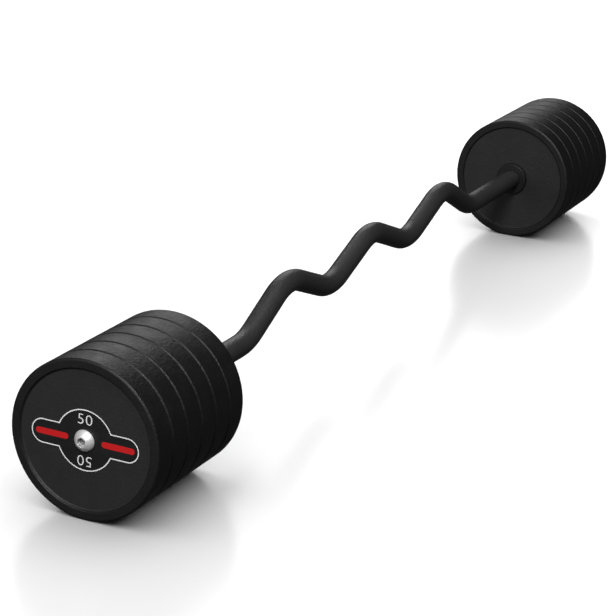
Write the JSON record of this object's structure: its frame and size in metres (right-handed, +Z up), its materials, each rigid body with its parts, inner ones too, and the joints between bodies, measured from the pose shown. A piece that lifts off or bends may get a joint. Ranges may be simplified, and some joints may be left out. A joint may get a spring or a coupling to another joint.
{
  "type": "barbell",
  "caption": "Fixed-weight curl barbell: a bent steel bar with a round head of stacked rubber-covered plates bolted to each end.",
  "frame": {"origin": "on the floor under the middle of the bar: the bottom centre of the whole object's box", "axes": "+X along the heads' axis towards the right head, +Z up, which is the way the bar's humps point"},
  "size_m": [1.306, 0.165, 0.165],
  "materials": {
    "bar_coating": "satin",
    "rubber_cover": "matte",
    "core_steel": "matte",
    "washer_steel": "satin",
    "label_plate": "satin",
    "bolt_steel": "satin"
  },
  "bodies": {
    "root": {"curl_bar": "bar_coating", "left_plate_1_cover": "rubber_cover", "left_plate_1_core": "core_steel", "left_plate_2_cover": "rubber_cover", "left_plate_2_core": "core_steel", "left_plate_3_cover": "rubber_cover", "left_plate_3_core": "core_steel", "left_plate_4_cover": "rubber_cover", "left_plate_4_core": "core_steel", "left_plate_5_cover": "rubber_cover", "left_plate_5_core": "core_steel", "left_plate_6_cover": "rubber_cover", "left_plate_6_core": "core_steel", "left_inner_collar": "bar_coating", "left_clamp_washer": "washer_steel", "left_label_plate": "label_plate", "left_end_bolt": "bolt_steel", "right_plate_1_cover": "rubber_cover", "right_plate_1_core": "core_steel", "right_plate_2_cover": "rubber_cover", "right_plate_2_core": "core_steel", "right_plate_3_cover": "rubber_cover", "right_plate_3_core": "core_steel", "right_plate_4_cover": "rubber_cover", "right_plate_4_core": "core_steel", "right_plate_5_cover": "rubber_cover", "right_plate_5_core": "core_steel", "right_plate_6_cover": "rubber_cover", "right_plate_6_core": "core_steel", "right_inner_collar": "bar_coating", "right_clamp_washer": "washer_steel", "right_label_plate": "label_plate", "right_end_bolt": "bolt_steel"}
  },
  "joints": []
}
